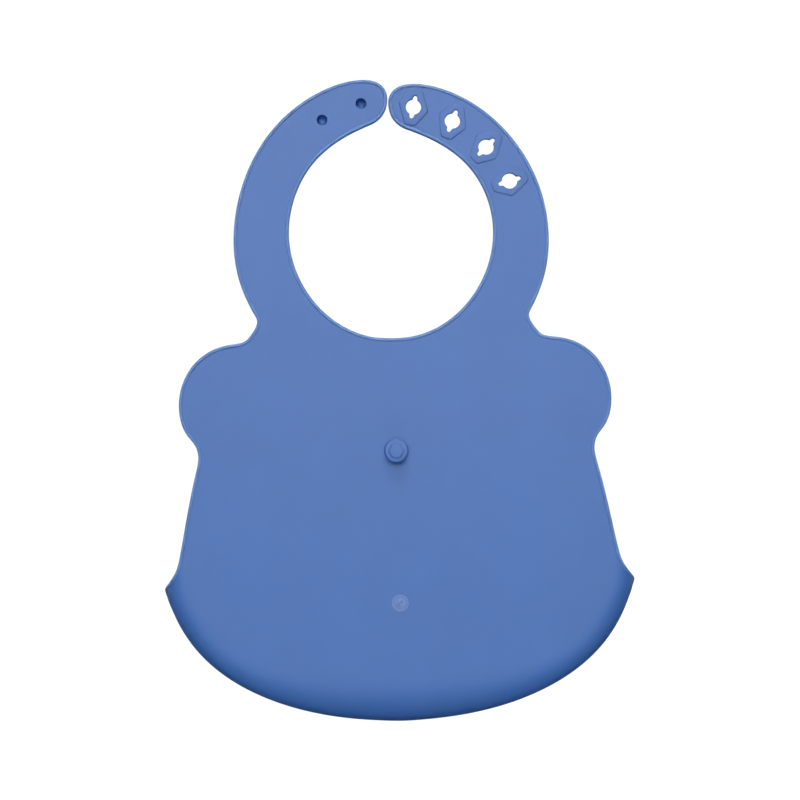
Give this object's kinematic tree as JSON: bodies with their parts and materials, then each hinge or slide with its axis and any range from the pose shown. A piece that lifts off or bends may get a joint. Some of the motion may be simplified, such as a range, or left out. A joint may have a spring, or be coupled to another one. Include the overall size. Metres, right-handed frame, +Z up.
{
  "type": "silicone bib",
  "caption": "Baby's moulded silicone bib with a neck ring closed by snap studs in keyholes, shoulder lobes, a roll-up button and a rolled crumb pocket.",
  "frame": {"origin": "centre of the neck opening, in the middle of the sheet's thickness", "axes": "+Z up as worn, +Y towards the wearer (the back face), -Y the front with the pocket; +X the wearer's left, the strap with the studs"},
  "size_m": [0.2224, 0.0549, 0.3023],
  "materials": {
    "silicone": "matt",
    "silicone_flex": "matt"
  },
  "bodies": {
    "chest": {"chest_panel": "silicone", "roll_button_stem": "silicone", "roll_button_head": "silicone", "roll_button_hexagon": "silicone", "left_lobe_flex": "silicone_flex", "right_lobe_flex": "silicone_flex", "stud_strap_flex": "silicone_flex", "keyhole_strap_flex": "silicone_flex", "waist_flex": "silicone_flex"},
    "left_lobe": {"left_lobe": "silicone"},
    "right_lobe": {"right_lobe": "silicone"},
    "stud_strap": {"stud_strap_lower": "silicone", "stud_strap_mid_flex": "silicone_flex"},
    "stud_strap_end": {"stud_strap_tip": "silicone", "stud_1": "silicone", "stud_2": "silicone"},
    "keyhole_strap": {"keyhole_strap_lower": "silicone", "keyhole_strap_mid_flex": "silicone_flex", "keyhole_pad_3": "silicone", "keyhole_pad_4": "silicone"},
    "keyhole_strap_end": {"keyhole_strap_tip": "silicone", "keyhole_pad_1": "silicone", "keyhole_pad_2": "silicone"},
    "lower_bib": {"lower_panel": "silicone", "date_dial": "silicone", "pocket_roll": "silicone", "pocket_front": "silicone", "pocket_left_end": "silicone", "pocket_right_end": "silicone", "pocket_lip_flex": "silicone_flex"},
    "pocket_lip": {"pocket_lip": "silicone"}
  },
  "joints": [
    {"name": "stud_strap_root", "type": "hinge", "parent": "chest", "child": "stud_strap", "pos_m": [0.061, 0, -0.005], "axis": [1, 0, 0], "range_deg": [-60, 60], "stiffness_Nm_per_rad": 0.03, "deforming": ["stud_strap_flex"]},
    {"name": "stud_strap_mid", "type": "hinge", "parent": "stud_strap", "child": "stud_strap_end", "pos_m": [0.03849, 0, 0.04603], "axis": [0.6414, 0, 0.7672], "range_deg": [-35, 35], "stiffness_Nm_per_rad": 0.02, "deforming": ["stud_strap_mid_flex"]},
    {"name": "keyhole_strap_root", "type": "hinge", "parent": "chest", "child": "keyhole_strap", "pos_m": [-0.061, 0, -0.005], "axis": [1, 0, 0], "range_deg": [-60, 60], "stiffness_Nm_per_rad": 0.03, "deforming": ["keyhole_strap_flex"]},
    {"name": "keyhole_strap_mid", "type": "hinge", "parent": "keyhole_strap", "child": "keyhole_strap_end", "pos_m": [-0.03849, 0, 0.04603], "axis": [-0.6414, 0, 0.7672], "range_deg": [-35, 35], "stiffness_Nm_per_rad": 0.02, "deforming": ["keyhole_strap_mid_flex"]},
    {"name": "left_lobe_fold", "type": "hinge", "parent": "chest", "child": "left_lobe", "pos_m": [0.08307, 0, -0.07395], "axis": [0.421, 0, -0.9071], "range_deg": [-40, 40], "stiffness_Nm_per_rad": 0.01, "deforming": ["left_lobe_flex"]},
    {"name": "right_lobe_fold", "type": "hinge", "parent": "chest", "child": "right_lobe", "pos_m": [-0.08307, 0, -0.07395], "axis": [-0.421, 0, -0.9071], "range_deg": [-40, 40], "stiffness_Nm_per_rad": 0.01, "deforming": ["right_lobe_flex"]},
    {"name": "waist_fold", "type": "hinge", "parent": "chest", "child": "lower_bib", "pos_m": [0, 0, -0.138], "axis": [-1, 0, 0], "range_deg": [-25, 70], "stiffness_Nm_per_rad": 0.1, "deforming": ["waist_flex"]},
    {"name": "pocket_lip_bend", "type": "hinge", "parent": "lower_bib", "child": "pocket_lip", "pos_m": [0, -0.0425, -0.198], "axis": [1, 0, 0], "range_deg": [-25, 20], "stiffness_Nm_per_rad": 0.05, "deforming": ["pocket_lip_flex"]}
  ]
}
